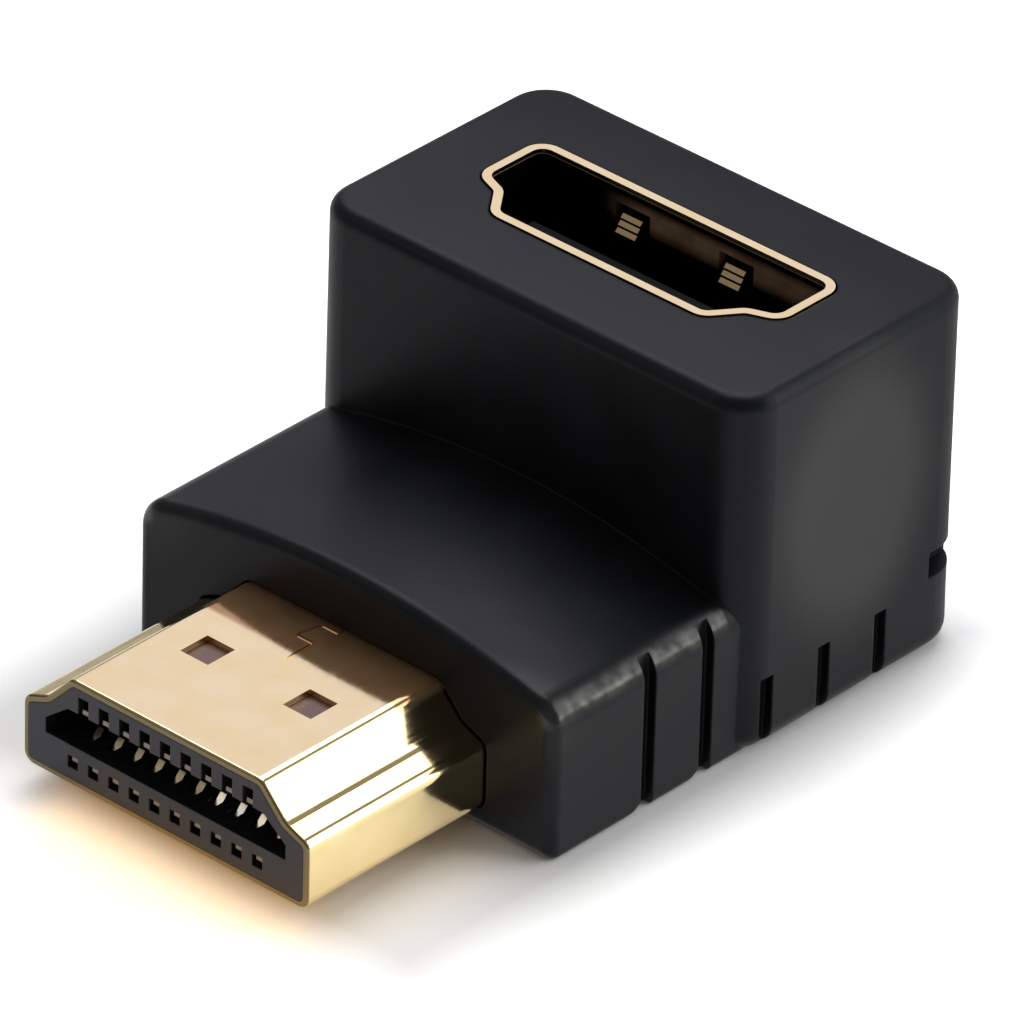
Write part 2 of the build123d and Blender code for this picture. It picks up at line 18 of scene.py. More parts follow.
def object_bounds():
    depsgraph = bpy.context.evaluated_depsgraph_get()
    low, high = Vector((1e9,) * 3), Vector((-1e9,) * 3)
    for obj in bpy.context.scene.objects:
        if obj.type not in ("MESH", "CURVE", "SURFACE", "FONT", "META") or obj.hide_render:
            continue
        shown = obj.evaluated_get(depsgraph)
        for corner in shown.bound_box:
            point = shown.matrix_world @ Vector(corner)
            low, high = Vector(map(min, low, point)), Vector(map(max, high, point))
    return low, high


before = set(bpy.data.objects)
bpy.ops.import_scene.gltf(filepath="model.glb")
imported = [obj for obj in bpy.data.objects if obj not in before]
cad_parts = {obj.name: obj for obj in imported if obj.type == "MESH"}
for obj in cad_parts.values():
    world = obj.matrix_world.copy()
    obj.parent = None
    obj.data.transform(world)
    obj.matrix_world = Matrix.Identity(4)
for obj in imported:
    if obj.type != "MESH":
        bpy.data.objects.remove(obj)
CAD_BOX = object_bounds()

log = logging.getLogger("adapter")

Tree = bpy.types.NodeTree
Socket = bpy.types.NodeSocket
Colour = tuple[float, float, float, float]
Span = tuple[float, float]
Place = tuple[float, float, float]

MM = 0.001
CONTACTS = 19

# Most values of a noise lie in this part of its range.
MOST_OF_NOISE: Span = (0.3, 0.7)
# How many finer layers a noise carries.
PLAIN, MIXED, BROKEN = 1.0, 2.0, 3.0
# Rays whose diffuse depth lies below this have met no matt surface yet.
FIRST_BOUNCE = 0.5
EDGE_SAMPLES = 4


def linear(code: str) -> Colour:
    """Turns an sRGB hex colour into the linear colour that shaders take.

    Args:
        code: Six hex digits, such as "#e8c77e".

    Returns:
        Red, green, blue and an alpha of 1.
    """
    shares = [int(code.lstrip("#")[i : i + 2], 16) / 255 for i in (0, 2, 4)]
    red, green, blue = (s / 12.92 if s <= 0.04045 else ((s + 0.055) / 1.055) ** 2.4 for s in shares)
    return red, green, blue, 1.0


def per_metre(feature_mm: float) -> float:
    """Gives a pattern's scale in repeats a metre from the size of one feature in millimetres."""
    return 1.0 / (feature_mm * MM)


def direction(azimuth: float, elevation: float) -> Vector:
    """Unit vector from the object to a viewer or lamp: azimuth 0 is in front, at -Y, and 90 is at +X."""
    a, e = math.radians(azimuth), math.radians(elevation)
    return Vector((math.sin(a) * math.cos(e), -math.cos(a) * math.cos(e), math.sin(e)))


class Axis(Enum):
    """Direction across the object, in which a coordinate is read or a sheet was rolled."""

    X = (1.0, 0.0, 0.0)
    Y = (0.0, 1.0, 0.0)
    Z = (0.0, 0.0, 1.0)


def feed(tree: Tree, node: bpy.types.Node, inputs: dict[str | int, Any]) -> None:
    """Sets a node's inputs or links them.

    Args:
        tree: The node tree that holds the node.
        node: The node.
        inputs: Socket name or number to a value, or to the output socket that feeds it.
    """
    for name, value in inputs.items():
        if isinstance(value, Socket):
            tree.links.new(value, node.inputs[name])
        else:
            node.inputs[name].default_value = value


def add_node(tree: Tree, kind: str, inputs: dict[str | int, Any], **settings: Any) -> bpy.types.Node:
    """Adds one node with its settings and its links.

    Args:
        tree: The node tree that gets the node.
        kind: Blender's name for the node type.
        inputs: Socket name or number to a value, or to the output socket that feeds it.
        **settings: Properties of the node itself, such as operation or blend_type.

    Returns:
        The new node.
    """
    made = tree.nodes.new(kind)
    for name, value in settings.items():
        setattr(made, name, value)
    feed(tree, made, inputs)
    return made


def calculate(tree: Tree, operation: str, *values: Any, clamp: bool = False) -> Socket:
    """Adds one sum or comparison.

    Args:
        tree: The node tree that gets it.
        operation: Blender's name for the operation.
        *values: Numbers or output sockets, in the operation's order.
        clamp: Whether the result is held between 0 and 1.

    Returns:
        The result.
    """
    inputs = dict(enumerate(values))
    return add_node(tree, "ShaderNodeMath", inputs, operation=operation, use_clamp=clamp).outputs[0]


def product(tree: Tree, first: Any, *others: Any) -> Socket:
    """Multiplies a value by each of the others."""
    for other in others:
        first = calculate(tree, "MULTIPLY", first, other)
    return first


def vector(tree: Tree, operation: str, *values: Any) -> Socket:
    """Adds one operation on vectors and gives its result, a number for LENGTH and a vector otherwise."""
    made = add_node(tree, "ShaderNodeVectorMath", dict(enumerate(values)), operation=operation)
    return made.outputs["Value" if operation == "LENGTH" else "Vector"]


def coordinate(tree: Tree, place: Socket, axis: Axis) -> Socket:
    """Gives one of a place's three coordinates."""
    return add_node(tree, "ShaderNodeSeparateXYZ", {0: place}).outputs[axis.name]


def rescale(
    tree: Tree, value: Socket, start: float, end: float, low: Any = 0.0, high: Any = 1.0, **settings: Any
) -> Socket:
    """Maps a value from one range onto another, and holds it there beyond the ends.

    Args:
        tree: The node tree that gets the node.
        value: The output socket to map.
        start: Where the result is low.
        end: Where the result is high, above or below the start.
        low: Result at the start.
        high: Result at the end.
        **settings: Properties of the node, such as interpolation_type.

    Returns:
        The mapped value.
    """
    inputs = {"Value": value, "From Min": start, "From Max": end, "To Min": low, "To Max": high}
    return add_node(tree, "ShaderNodeMapRange", inputs, **settings).outputs["Result"]


def blend(tree: Tree, share: Any, below: Any, above: Any, **settings: Any) -> Socket:
    """Lays one colour over another.

    Args:
        tree: The node tree that gets the node.
        share: How much of the upper colour shows, 0 to 1.
        below: The colour that a share of 0 gives.
        above: The colour that a share of 1 gives.
        **settings: Properties of the node, such as blend_type.

    Returns:
        The blended colour.
    """
    inputs = {0: share, 6: below, 7: above}
    return add_node(tree, "ShaderNodeMix", inputs, data_type="RGBA", **settings).outputs[2]


def ramp_between(tree: Tree, factor: Socket, stops: list[tuple[float, Colour]]) -> Socket:
    """Turns a factor into a colour that runs through the given stops.

    Args:
        tree: The node tree that gets the ramp.
        factor: The output socket that drives it.
        stops: Positions from 0 to 1, each with its colour, two at least.

    Returns:
        The colour output.
    """
    made = add_node(tree, "ShaderNodeValToRGB", {"Fac": factor})
    elements = made.color_ramp.elements
    while len(elements) < len(stops):
        elements.new(0.5)
    for element, (position, colour) in zip(elements, stops):
        element.position = position
        element.color = colour
    return made.outputs["Color"]


def two_tones(tree: Tree, pattern: Socket, first: str, last: str, over: Span = MOST_OF_NOISE) -> Socket:
    """Colours a pattern.

    Args:
        tree: The node tree that gets the ramp.
        pattern: Values from 0 to 1.
        first: Hex colour of the low values.
        last: Hex colour of the high values.
        over: The part of the range in which the one turns into the other.

    Returns:
        The colour output.
    """
    return ramp_between(tree, pattern, [(over[0], linear(first)), (over[1], linear(last))])


def noise(tree: Tree, place: Socket, feature_mm: float, detail: float = MIXED) -> Socket:
    """Gives even noise whose blotches are about feature_mm across.

    Args:
        tree: The node tree that gets the noise.
        place: Coordinates in metres.
        feature_mm: Size of one blotch in millimetres.
        detail: How many finer layers it carries.

    Returns:
        The noise value, about 0 to 1.
    """
    inputs = {"Vector": place, "Scale": per_metre(feature_mm), "Detail": detail}
    return add_node(tree, "ShaderNodeTexNoise", inputs).outputs["Fac"]


def spread(tree: Tree, value: Socket, over: Span) -> Socket:
    """Maps the middle of a noise value onto the given range."""
    return rescale(tree, value, *MOST_OF_NOISE, *over)


def soft_edge(tree: Tree, radius_mm: float) -> Socket:
    """Gives a normal that rounds sharp edges off to a small radius."""
    return add_node(tree, "ShaderNodeBevel", {"Radius": radius_mm * MM}, samples=EDGE_SAMPLES).outputs["Normal"]


def bump(tree: Tree, layers: list[tuple[Socket, float]], normal: Socket | None = None) -> Socket:
    """Stacks height layers into one normal.

    Args:
        tree: The node tree that gets the bumps.
        layers: Height values from 0 to 1, each with its real height in millimetres.
        normal: A normal to start from, such as one with softened edges.

    Returns:
        The normal of the last layer.
    """
    for height, height_mm in layers:
        inputs = {"Height": height, "Distance": height_mm * MM, "Strength": 1.0}
        if normal is not None:
            inputs["Normal"] = normal
        normal = add_node(tree, "ShaderNodeBump", inputs).outputs["Normal"]
    return normal


def mirror_or_glass(tree: Tree, rays: bpy.types.bpy_prop_collection) -> Socket:
    """Gives 1 for a ray that a mirror or glass sends on, and 0 for any other.

    Args:
        tree: The node tree that gets the node.
        rays: The outputs of its Light Path node.

    Returns:
        The share, 0 or 1.
    """
    return calculate(tree, "MAXIMUM", rays["Is Glossy Ray"], rays["Is Transmission Ray"])


def spot(
    tree: Tree, place: Socket, centre_mm: Place, weights: Place, radius_mm: float, flat_mm: float = 0.0
) -> Socket:
    """Gives 1 at a spot and 0 outside its radius.

    Args:
        tree: The node tree that gets the nodes.
        place: Coordinates in metres.
        centre_mm: The middle of the spot.
        weights: How much a step along each axis counts; 0 draws the spot out into a line.
        radius_mm: Where the spot ends.
        flat_mm: How far out from its middle it stays at 1.

    Returns:
        The share, smooth from there to the edge.
    """
    off = vector(tree, "SUBTRACT", place, [at * MM for at in centre_mm])
    length = vector(tree, "LENGTH", vector(tree, "MULTIPLY", off, weights))
    return rescale(tree, length, radius_mm * MM, flat_mm * MM, interpolation_type="SMOOTHSTEP")


@dataclass(frozen=True)
class Finish:
    """One real material and how its surface was made."""

    name: str

    def start(self) -> tuple[bpy.types.Material, Tree, bpy.types.Node, Socket]:
        """Makes an empty material with its shader.

        Returns:
            The material, its tree, its Principled shader and the object coordinates, which are in metres.
        """
        material = bpy.data.materials.new(self.name)
        material.use_nodes = True
        tree = material.node_tree
        tree.nodes.clear()
        shader = add_node(tree, "ShaderNodeBsdfPrincipled", {})
        add_node(tree, "ShaderNodeOutputMaterial", {"Surface": shader.outputs["BSDF"]})
        place = add_node(tree, "ShaderNodeTexCoord", {}).outputs["Object"]
        return material, tree, shader, place

    def make(self) -> bpy.types.Material:
        """Builds the material.

        Returns:
            The finished material.
        """
        raise NotImplementedError


@dataclass(frozen=True)
class SatinPvc(Finish):
    """Black flexible PVC, moulded over the inner block in a lightly spark-eroded tool.

    The eye gets a soft, wide sheen with no mirror image in it, faintly blue where it faces the sky, and a
    grain so fine that only the edge of a highlight shows it. Handling has left the arm's top edges glossier.
    The middle of each of the block's sides carries a painted sheen: a glossier, greenish spot that stands in
    for a softbox's reflection.
    """

    dark: str = "#0b0c0e"
    pale: str = "#101114"
    tone_over: Span = (0.35, 0.65)
    flow_mm: float = 3.5
    flow_height_mm: float = 0.01
    grain_mm: float = 0.16
    grain_height_mm: float = 0.004
    soft_edge_mm: float = 0.12
    ior: float = 1.53
    sheen: float = 0.152
    sheen_tint: str = "#f3f6ff"
    rough: Span = (0.36, 0.44)
    duller: float = 0.2
    duller_over_y_mm: Span = (3.0, 15.0)
    rubbed_at_mm: Place = (9.77, 0.0, 5.92)
    rubbed_weights: Place = (1.0, 0.0, 1.0)
    rubbed_mm: float = 0.62
    rubbed_to_y_mm: float = 2.9
    mottle_mm: float = 0.55
    mottle: Span = (0.25, 1.3)
    # Painted sheen: a glossier, greenish spot on each side of the block, standing in for a softbox's reflection.
    painted_sheen_at_mm: Place = (10.6, 9.0, 8.6)
    painted_sheen_weights: Place = (1.0, 1.15, 0.8)
    painted_sheen_mm: float = 5.7
    painted_sheen_flat_mm: float = 2.8
    painted_sheen: float = 0.3
    # The gloss layer on both the worn arm edges and the painted sheen: its roughness and its greenish tint.
    wear_and_sheen_rough: float = 0.2
    wear_and_sheen_tint: str = "#e9e6c9"

    def shine(self, tree: Tree, place: Socket) -> Socket:
        """Gives where the skin is glossier: mottled on the arm's worn top edges, and on the block's sides a painted
        sheen.

        Args:
            tree: The node tree that gets the nodes.
            place: Object coordinates in metres.

        Returns:
            The weight of the gloss, 0 to 1.
        """
        mirrored = vector(tree, "ABSOLUTE", place)
        edge = spot(tree, mirrored, self.rubbed_at_mm, self.rubbed_weights, self.rubbed_mm)
        mottle = spread(tree, noise(tree, place, self.mottle_mm, PLAIN), self.mottle)
        on_arm = calculate(tree, "LESS_THAN", coordinate(tree, place, Axis.Y), self.rubbed_to_y_mm * MM)
        worn = product(tree, edge, on_arm, mottle)
        # Painted sheen on the block's sides.
        side = spot(tree, mirrored, self.painted_sheen_at_mm, self.painted_sheen_weights, self.painted_sheen_mm, self.painted_sheen_flat_mm)
        return calculate(tree, "MULTIPLY_ADD", side, self.painted_sheen, worn, clamp=True)

    def make(self) -> bpy.types.Material:
        """Builds the material, duller towards the back of the block."""
        material, tree, shader, place = self.start()
        patches = noise(tree, place, self.flow_mm, BROKEN)
        grain = noise(tree, place, self.grain_mm)
        start, end = (y * MM for y in self.duller_over_y_mm)
        duller = rescale(tree, coordinate(tree, place, Axis.Y), start, end, high=self.duller)
        layers = [(patches, self.flow_height_mm), (grain, self.grain_height_mm)]
        inputs = {
            "Base Color": two_tones(tree, patches, self.dark, self.pale, self.tone_over),
            "Roughness": calculate(tree, "ADD", spread(tree, patches, self.rough), duller),
            "Normal": bump(tree, layers, soft_edge(tree, self.soft_edge_mm)),
            "IOR": self.ior,
            "Specular IOR Level": self.sheen,
            "Specular Tint": linear(self.sheen_tint),
            "Coat Weight": self.shine(tree, place),
            "Coat Roughness": self.wear_and_sheen_rough,
            "Coat Tint": linear(self.wear_and_sheen_tint),
        }
        feed(tree, shader, inputs)
        return material


@dataclass(frozen=True)
class GoldPlate(Finish):
    """Gold flashed over nickel on folded brass sheet, bright from the press tools.

    The eye gets a clear, warm mirror, slightly drawn out along the way the sheet was rolled, and a little
    uneven where the thin sheet is not quite flat. The front edge is duller and browner, and on top of the
    plug's root a brown, less metallic patch is a painted reflection of the arm's front face.
    """

    pale: str = "#f5e0ad"
    deep: str = "#f1d99f"
    cloud_mm: float = 1.4
    roll: Axis = Axis.Y
    drawn_out: float = 0.05
    line_mm: float = 0.12
    line_height_mm: float = 0.0008
    dent_mm: float = 2.6
    dent_height_mm: float = 0.006
    rough: Span = (0.07, 0.12)
    front_edge_mm: float = 0.05
    front_edge_tone: str = "#807355"
    # Painted reflection on top of the plug's root: where it starts, how soft its edge is, how metallic it stays,
    # its browns.
    painted_shading_from_mm: float = 6.8
    painted_shading_edge_mm: float = 0.12
    painted_shading_above_mm: float = 5.1
    painted_shading_metal: float = 0.75
    painted_shading_dark: str = "#b38a61"
    painted_shading_pale: str = "#c29a70"
    painted_blotch_mm: float = 0.9

    def make(self) -> bpy.types.Material:
        """Builds the material."""
        material, tree, shader, place = self.start()
        stretch = [self.drawn_out if along else 1.0 for along in self.roll.value]
        lines = noise(tree, vector(tree, "MULTIPLY", place, stretch), self.line_mm)
        dents = noise(tree, place, self.dent_mm, PLAIN)
        # Share of painted colour: a painted reflection on the plug's root, painted shade inside the socket.
        painted_shading = self.painted_shading(tree, place)
        inputs = {
            "Base Color": blend(tree, painted_shading, self.tone(tree, place), self.under(tree, place)),
            "Metallic": rescale(tree, painted_shading, 0.0, 1.0, 1.0, self.painted_shading_metal),
            "Roughness": spread(tree, lines, self.rough),
            "Normal": bump(tree, [(dents, self.dent_height_mm), (lines, self.line_height_mm)]),
        }
        feed(tree, shader, inputs)
        return material

    def tone(self, tree: Tree, place: Socket) -> Socket:
        """Gives the plate's colour, a little deeper where it is thicker, and duller and browner on the front edge.

        Args:
            tree: The node tree that gets the nodes.
            place: Object coordinates in metres.

        Returns:
            The colour output.
        """
        gold = two_tones(tree, noise(tree, place, self.cloud_mm, BROKEN), self.deep, self.pale)
        tip, cut = CAD_BOX[0].y, self.front_edge_mm * MM
        front_edge_share = rescale(tree, coordinate(tree, place, Axis.Y), tip + 2 * cut, tip + cut)
        return blend(tree, front_edge_share, gold, linear(self.front_edge_tone))

    def painted_shading(self, tree: Tree, place: Socket) -> Socket:
        """Gives how much painted colour lies on the plate, 0 to 1: here a painted reflection on top of the plug's
        root.

        Args:
            tree: The node tree that gets the nodes.
            place: Object coordinates in metres.

        Returns:
            The share of the painted colour.
        """
        root, top = CAD_BOX[0].y + self.painted_shading_from_mm * MM, self.painted_shading_above_mm * MM
        edge = self.painted_shading_edge_mm * MM
        rooted, topped = (
            rescale(tree, coordinate(tree, place, axis), at - edge, at + edge)
            for axis, at in ((Axis.Y, root), (Axis.Z, top))
        )
        return product(tree, rooted, topped)

    def under(self, tree: Tree, place: Socket) -> Socket:
        """Gives the painted colour, in blotches.

        Args:
            tree: The node tree that gets the nodes.
            place: Object coordinates in metres.

        Returns:
            The colour output.
        """
        return two_tones(tree, noise(tree, place, self.painted_blotch_mm, BROKEN), self.painted_shading_dark, self.painted_shading_pale)


@dataclass(frozen=True)
class SocketGoldPlate(GoldPlate):
    """The same plate on the socket's shell: bright at the rim, with painted shade on the fingers and below it.

    The eye gets a pale gold rim, then painted shade: a dark line and a brown band under the rim, and near darkness
    further down and left of the band.
    """

    roll: Axis = Axis.Z
    # Painted shade down the socket's walls: no metal, its browns, line and depth colours, and where each lies.
    painted_shading_metal: float = 0.0
    painted_shading_dark: str = "#70594a"
    painted_shading_pale: str = "#86705f"
    line: str = "#1c0f06"
    depth: str = "#050403"
    rim_mm: float = 0.16
    rim_edge_mm: float = 0.06
    rim_reach_mm: float = 1.0
    line_end_mm: float = 0.38
    band_mm: Span = (0.7, 1.15)
    dark_mm: Span = (1.65, 2.05)
    painted_shading_behind_y_mm: float = 7.5
    band_from_x_mm: float = -3.1
    band_blend_mm: float = 0.8
    # Painted shade on the fingers down in the socket.
    finger_shade: str = "#7d6a50"
    finger_spacing_mm: float = 5.0
    finger_width_mm: float = 1.1
    finger_top_mm: float = 1.1
    middle_y_mm: float = 9.16

    def on_finger(self, tree: Tree, place: Socket) -> Socket:
        """Gives 1 on the two spring fingers, which start below the rim of the back wall, and 0 beside them.

        Args:
            tree: The node tree that gets the nodes.
            place: Object coordinates in metres.

        Returns:
            The share, 0 or 1.
        """
        aside = calculate(tree, "ABSOLUTE", coordinate(tree, place, Axis.X))
        column = calculate(tree, "COMPARE", aside, self.finger_spacing_mm * MM / 2, self.finger_width_mm * MM / 2)
        top = CAD_BOX[1].z - self.finger_top_mm * MM
        below = calculate(tree, "LESS_THAN", coordinate(tree, place, Axis.Z), top)
        behind = calculate(tree, "GREATER_THAN", coordinate(tree, place, Axis.Y), self.middle_y_mm * MM)
        return product(tree, column, below, behind)

    def depth_ramp(self, tree: Tree, place: Socket, stops: list[tuple[float, Colour]]) -> Socket:
        """Gives a colour that changes with the depth below the rim.

        Args:
            tree: The node tree that gets the nodes.
            place: Object coordinates in metres.
            stops: Depths in millimetres, each with its colour.

        Returns:
            The colour output.
        """
        rim, reach = CAD_BOX[1].z, stops[-1][0]
        deep = rescale(tree, coordinate(tree, place, Axis.Z), rim, rim - reach * MM)
        return ramp_between(tree, deep, [(at / reach, colour) for at, colour in stops])

    def tone(self, tree: Tree, place: Socket) -> Socket:
        """Gives the plate's colour, with painted shade on the fingers, which sit down in the socket."""
        return blend(tree, self.on_finger(tree, place), super().tone(tree, place), linear(self.finger_shade))

    def painted_shading(self, tree: Tree, place: Socket) -> Socket:
        """Gives the share of painted shade: full down the back and side walls, none on the rim and the fingers."""
        bare, full = linear("#000000"), linear("#ffffff")
        stops = [(self.rim_mm, bare), (self.rim_mm + self.rim_edge_mm, full), (self.rim_reach_mm, full)]
        wall = self.depth_ramp(tree, place, stops)
        behind = calculate(tree, "GREATER_THAN", coordinate(tree, place, Axis.Y), self.painted_shading_behind_y_mm * MM)
        free = calculate(tree, "SUBTRACT", 1.0, self.on_finger(tree, place))
        return product(tree, wall, behind, free)

    def under(self, tree: Tree, place: Socket) -> Socket:
        """Gives the painted shade's colour: a dark line, a brown band, and then near black, all near black left of
        the band.
        """
        # Painted shade down the socket: a dark line under the rim, a brown band, then near black; near black left
        # of the band too.
        line, dark, white = linear(self.line), linear(self.depth), linear("#ffffff")
        stops = [(self.line_end_mm, line)]
        stops += [(depth, white) for depth in self.band_mm]
        stops += [(depth, dark) for depth in self.dark_mm]
        shade = self.depth_ramp(tree, place, stops)
        start, soft = self.band_from_x_mm * MM, self.band_blend_mm * MM
        band_share = rescale(tree, coordinate(tree, place, Axis.X), start - soft, start + soft)
        banded = blend(tree, 1.0, super().under(tree, place), shade, blend_type="MULTIPLY")
        return blend(tree, band_share, dark, banded)


@dataclass(frozen=True)
class GlassFilledMoulding(Finish):
    """Black glass-filled polymer, moulded thin and stiff to hold the contacts.

    The eye gets a dull dark grey with a faint speckle from the fibres that lie in its skin, and a cool sheen.
    Deeper than a set distance behind the plug's tip its colour is painted: brown in the plug for the warm light
    that the gold all round throws in, and near black in the socket for the shade down there.
    """

    dark: str = "#111112"
    pale: str = "#1d1c1d"
    tone_over: Span = (0.4, 0.7)
    sheen_tint: str = "#f2f2ff"
    # Painted colour deep in the connector: warm light off the gold in the plug, shade in the socket.
    painted_deep_colour: str = "#65402e"
    painted_deep_from_mm: float = 3.0
    gloss: float = 0.5
    ior: float = 1.6
    rough: Span = (0.36, 0.5)
    fibre_mm: float = 0.12
    fibre_height_mm: float = 0.004
    soft_edge_mm: float = 0.07

    def make(self) -> bpy.types.Material:
        """Builds the material."""
        material, tree, shader, place = self.start()
        fibres = noise(tree, place, self.fibre_mm, BROKEN)
        colour = two_tones(tree, fibres, self.dark, self.pale, self.tone_over)
        # Painted light and shade: behind this depth the colour is swapped for the painted one.
        start = CAD_BOX[0].y + self.painted_deep_from_mm * MM
        deep = calculate(tree, "GREATER_THAN", coordinate(tree, place, Axis.Y), start)
        inputs = {
            "Base Color": blend(tree, deep, colour, linear(self.painted_deep_colour)),
            "Roughness": spread(tree, fibres, self.rough),
            "Normal": bump(tree, [(fibres, self.fibre_height_mm)], soft_edge(tree, self.soft_edge_mm)),
            "IOR": self.ior,
            "Specular IOR Level": self.gloss,
            "Specular Tint": linear(self.sheen_tint),
        }
        feed(tree, shader, inputs)
        return material


@dataclass(frozen=True)
class GoldFlash(Finish):
    """Phosphor bronze strip with a thin gold flash over nickel, so paler and whiter than the shells.

    The eye gets bright strips, duller ones on the left where shade is painted on, and brown ends where the strip
    was sheared after it was flashed.
    """

    pale: str = "#fbf4e6"
    deep: str = "#f0e2c4"
    tone_over: Span = (0.35, 0.65)
    cloud_mm: float = 0.5
    rough: Span = (0.16, 0.28)
    # Painted shade on the strips left of this x.
    painted_shade: str = "#9c8d73"
    painted_shade_below_x_mm: float = 1.0
    sheared: str = "#857b70"
    sheared_mm: float = 0.17

    def make(self) -> bpy.types.Material:
        """Builds the material."""
        material, tree, shader, place = self.start()
        clouds = noise(tree, place, self.cloud_mm)
        colour = two_tones(tree, clouds, self.deep, self.pale, self.tone_over)
        end = CAD_BOX[0].y + self.sheared_mm * MM
        # Painted shade on the left-hand strips; the ends near the plug's tip are sheared bronze.
        for axis, limit, shade in ((Axis.X, self.painted_shade_below_x_mm * MM, self.painted_shade), (Axis.Y, end, self.sheared)):
            below = calculate(tree, "LESS_THAN", coordinate(tree, place, axis), limit)
            colour = blend(tree, below, colour, linear(shade))
        inputs = {"Base Color": colour, "Roughness": spread(tree, clouds, self.rough), "Metallic": 1.0}
        feed(tree, shader, inputs)
        return material


@dataclass(frozen=True)
class SolderMask(Finish):
    """Green epoxy solder mask, curtain coated over glass cloth, glossy with the weave just telling."""

    dark: str = "#0c3a22"
    pale: str = "#14502f"
    tone_over: Span = (0.2, 0.8)
    weave_mm: float = 0.45
    weave_height_mm: float = 0.004
    unevenness: float = 0.4
    rough: float = 0.25

    def make(self) -> bpy.types.Material:
        """Builds the material."""
        material, tree, shader, place = self.start()
        waves = {"Vector": place, "Scale": per_metre(self.weave_mm) / math.tau, "Distortion": self.unevenness}
        weave = add_node(tree, "ShaderNodeTexWave", waves).outputs["Fac"]
        inputs = {
            "Base Color": two_tones(tree, weave, self.dark, self.pale, self.tone_over),
            "Roughness": self.rough,
            "Normal": bump(tree, [(weave, self.weave_height_mm)]),
        }
        feed(tree, shader, inputs)
        return material


@dataclass(frozen=True)
class BlackPolythene(Finish):
    """Black polythene, moulded first to hold the board: waxy, smooth and slightly soft to look at."""

    dark: str = "#0b0b0c"
    pale: str = "#141415"
    swirl_mm: float = 2.0
    rough: Span = (0.45, 0.6)
    ior: float = 1.51

    def make(self) -> bpy.types.Material:
        """Builds the material."""
        material, tree, shader, place = self.start()
        swirl = noise(tree, place, self.swirl_mm)
        inputs = {
            "Base Color": two_tones(tree, swirl, self.dark, self.pale),
            "Roughness": spread(tree, swirl, self.rough),
            "IOR": self.ior,
        }
        feed(tree, shader, inputs)
        return material


@dataclass(frozen=True)
class WhiteSweep(Finish):
    """White studio paper: matt and even, with a fibre so fine that it only breaks up the shine.

    The camera sees it glow towards white away from the object, and mirrors see it glow at its right and back.
    """

    paper: str = "#f8f8f8"
    fleck_mm: float = 0.6
    rough: Span = (0.85, 0.95)
    shine: float = 0.1
    glow: float = 0.47
    glow_under_tip_mm: float = 1.2
    glow_over_mm: Span = (0.0, 3.2)
    mirror_glow: Span = (0.1, 0.42)
    mirror_glow_over_mm: Span = (0.0, 5.0)
    mirror_glow_slant: float = 0.6

    def away(self, tree: Tree, place: Socket) -> Socket:
        """Gives how far a point of the floor lies outside the object's footprint, short of the plug's tip.

        Args:
            tree: The node tree that gets the nodes.
            place: The floor's own coordinates in metres.

        Returns:
            The distance output, in metres.
        """
        low, high = CAD_BOX[0].copy(), CAD_BOX[1]
        low.y += self.glow_under_tip_mm * MM
        middle = [(low.x + high.x) / 2, (low.y + high.y) / 2, 0.0]
        reach = [(high.x - low.x) / 2, (high.y - low.y) / 2, 0.0]
        aside = vector(tree, "ABSOLUTE", vector(tree, "SUBTRACT", place, middle))
        outside = vector(tree, "MAXIMUM", vector(tree, "SUBTRACT", aside, reach), [0.0, 0.0, 0.0])
        return vector(tree, "LENGTH", outside)

    def make(self) -> bpy.types.Material:
        """Builds the material, which camera, mirror and glass see a little whiter than the lamps make it."""
        material, tree, shader, place = self.start()
        rays = add_node(tree, "ShaderNodeLightPath", {}).outputs
        direct = calculate(tree, "LESS_THAN", rays["Diffuse Depth"], FIRST_BOUNCE)
        along, across = (coordinate(tree, place, axis) for axis in (Axis.Y, Axis.X))
        slanted = calculate(tree, "MULTIPLY_ADD", along, self.mirror_glow_slant, across)
        start, end = (at * MM for at in self.mirror_glow_over_mm)
        bright_side = rescale(tree, slanted, start, end, *self.mirror_glow)
        in_mirror = product(tree, mirror_or_glass(tree, rays), direct, bright_side)
        near, far = (at * MM for at in self.glow_over_mm)
        open_floor = rescale(tree, self.away(tree, place), near, far, high=self.glow)
        inputs = {
            "Base Color": linear(self.paper),
            "Roughness": spread(tree, noise(tree, place, self.fleck_mm), self.rough),
            "Specular IOR Level": self.shine,
            "Emission Color": linear("#ffffff"),
            "Emission Strength": calculate(tree, "MULTIPLY_ADD", rays["Is Camera Ray"], open_floor, in_mirror),
        }
        feed(tree, shader, inputs)
        return material


def dress(node_name: str, material: bpy.types.Material) -> None:
    """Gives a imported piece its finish.

    Args:
        node_name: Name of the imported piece.
        material: The finish for all of it.
    """
    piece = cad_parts[node_name]
    piece.data.materials.clear()
    piece.data.materials.append(material)
    log.info("dressed %s in %s", node_name, material.name)


@dataclass
class Housing:
    """The overmoulded L and the inner block that it is cast round."""

    skin: Finish = field(default_factory=lambda: SatinPvc("satin_black_pvc"))
    core: Finish = field(default_factory=lambda: BlackPolythene("black_polythene"))

    def build(self) -> None:
        """Dresses both mouldings."""
        dress("housing", self.skin.make())
        dress("inner_mould", self.core.make())


@dataclass
class Connector:
    """A folded shell, with the moulding and the row of contacts inside it."""

    prefix: str
    shell: Finish
    moulding: Finish

    def build(self, strip: bpy.types.Material) -> None:
        """Dresses the connector.

        Args:
            strip: The finish that the contacts of both connectors share.
        """
        dress(f"{self.prefix}_shell", self.shell.make())
        dress(f"{self.prefix}_insulator", self.moulding.make())
        for number in range(1, CONTACTS + 1):
            dress(f"{self.prefix}_contact_{number:02d}", strip)


